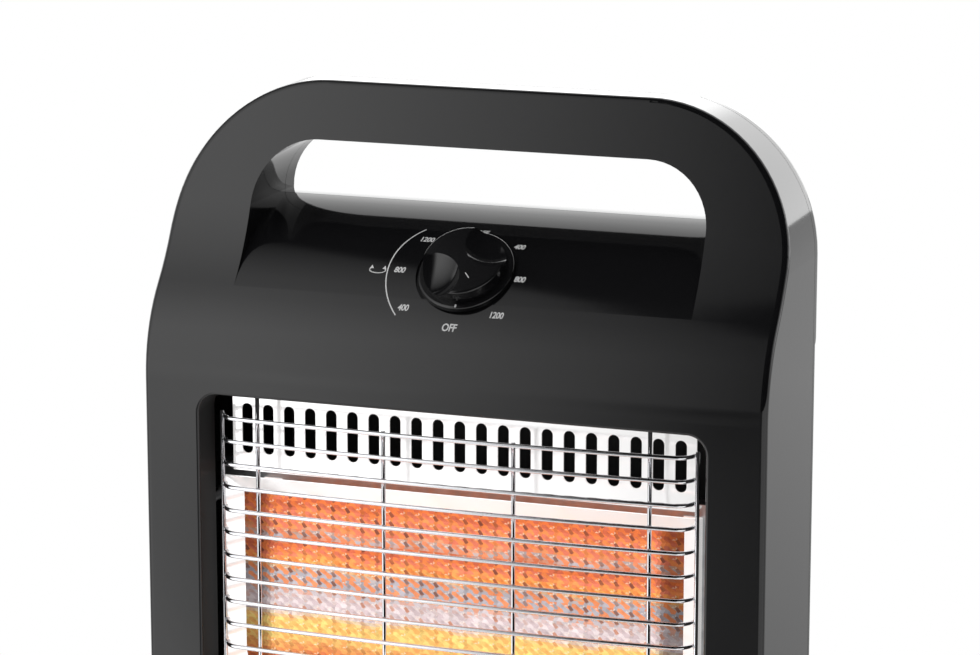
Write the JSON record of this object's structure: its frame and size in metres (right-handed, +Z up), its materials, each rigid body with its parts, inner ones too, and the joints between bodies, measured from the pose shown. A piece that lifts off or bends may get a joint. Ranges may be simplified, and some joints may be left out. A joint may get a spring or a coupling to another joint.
{
  "type": "halogen heater",
  "caption": "Upright halogen heater with a loop handle, rotary knob, bowed wire guard and bright reflectors, swinging on a round weighted base.",
  "frame": {"origin": "on the floor under the swing axis, at the middle of the base's underside", "axes": "+Z up along the swing axis, the window faces -Y, +X to the right of someone who faces -Y from behind"},
  "size_m": [0.3, 0.25, 0.53],
  "materials": {
    "casing": "high gloss black",
    "base_plastic": "high gloss black",
    "neck_plastic": "satin black",
    "knob_plastic": "gloss black",
    "inner_plastic": "matt black",
    "white_nylon": "matt white",
    "wire": "bright chromed wire",
    "polished_sheet": "mirror bright sheet",
    "embossed_sheet": "bright sheet with a diamond embossing",
    "zinc_sheet": "zinc plated sheet",
    "spring_steel": "bright spring steel",
    "motor_steel": "plated steel can",
    "screw": "zinc plated",
    "brass": "plain brass",
    "quartz": "clear quartz glass",
    "filament": "tungsten, glowing orange",
    "ceramic": "unglazed ceramic",
    "painted_plate": "black painted steel",
    "cast_weight": "rough cast iron",
    "rubber": "soft black rubber"
  },
  "bodies": {
    "base": {"base_cover": "base_plastic", "base_plate": "painted_plate", "base_weight": "cast_weight", "base_feet": "rubber", "base_screws": "screw", "cord_gland": "inner_plastic", "swing_motor": "motor_steel", "motor_screws": "screw", "bearing_washer": "white_nylon", "tip_switch": "inner_plastic", "tip_spring": "spring_steel"},
    "heater": {"front_shell": "casing", "back_shell": "casing", "case_screws": "screw", "neck_screws": "screw", "hub_screws": "screw", "shield_screws": "screw", "grille": "wire", "top_reflector": "polished_sheet", "main_reflector": "embossed_sheet", "side_plate_left": "polished_sheet", "side_plate_right": "polished_sheet", "heat_shield": "zinc_sheet", "lamp_tube_1": "quartz", "lamp_tube_2": "quartz", "lamp_tube_3": "quartz", "filament_1": "filament", "filament_2": "filament", "filament_3": "filament", "lamp_caps_1": "ceramic", "lamp_caps_2": "ceramic", "lamp_caps_3": "ceramic", "lamp_clips_left": "spring_steel", "lamp_clips_right": "spring_steel", "rotary_switch": "inner_plastic", "switch_nut": "brass", "thermal_cutout": "inner_plastic", "terminal_block": "white_nylon", "neck_hub": "neck_plastic", "yoke_arm": "zinc_sheet"},
    "knob": {"knob": "knob_plastic", "knob_clip": "spring_steel", "switch_spindle": "inner_plastic"},
    "crank": {"crank": "white_nylon"},
    "plunger": {"tip_plunger": "white_nylon"}
  },
  "joints": [
    {"name": "heater_swing", "type": "hinge", "parent": "base", "child": "heater", "pos_m": [0, 0, 0.034], "axis": [0, 0, 1], "range_deg": [-30, 30]},
    {"name": "crank_turn", "type": "hinge", "parent": "base", "child": "crank", "pos_m": [0, 0.024, 0.02], "axis": [0, 0, 1], "range_deg": [-120, 120]},
    {"name": "knob_turn", "type": "hinge", "parent": "heater", "child": "knob", "pos_m": [0, -0.02959, 0.44883], "axis": [0, -0.6428, 0.766], "continuous": true},
    {"name": "plunger_slide", "type": "slide", "parent": "base", "child": "plunger", "axis": [0, 0, 1], "range_m": [-0.006, 0], "stiffness_N_per_m": 30, "springref_m": -0.008, "deforming": ["tip_spring"]}
  ],
  "couplings": [
    {"joint": "crank_turn", "follows": "heater_swing", "ratio": 4}
  ]
}
